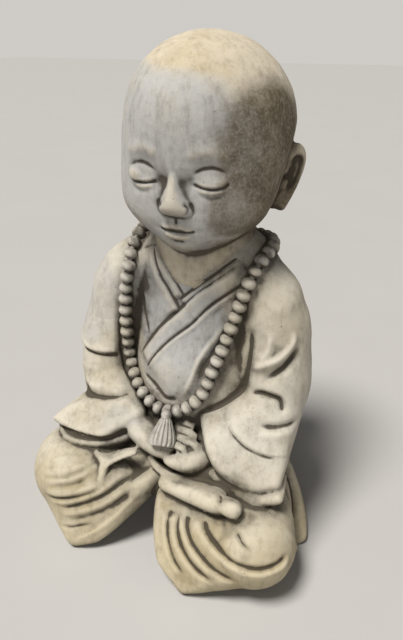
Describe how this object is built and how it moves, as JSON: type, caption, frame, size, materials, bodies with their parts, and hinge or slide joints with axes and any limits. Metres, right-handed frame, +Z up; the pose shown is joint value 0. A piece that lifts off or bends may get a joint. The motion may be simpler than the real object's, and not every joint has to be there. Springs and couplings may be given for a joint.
{
  "type": "stone monk statue",
  "caption": "Cast stone figure of a young monk seated cross-legged in a robe, hands together in the lap, with a bead necklace and tassel.",
  "frame": {"origin": "on the ground under the middle of the figure's outline", "axes": "+Z up, the figure faces -Y, its left hand is toward +X"},
  "size_m": [0.2507, 0.2053, 0.4076],
  "materials": {
    "monk_figure": "matt cast stone, pale buff grey, aged olive brown towards the ground, dark in the creases"
  },
  "bodies": {
    "root": {"monk_figure": "monk_figure"}
  },
  "joints": []
}
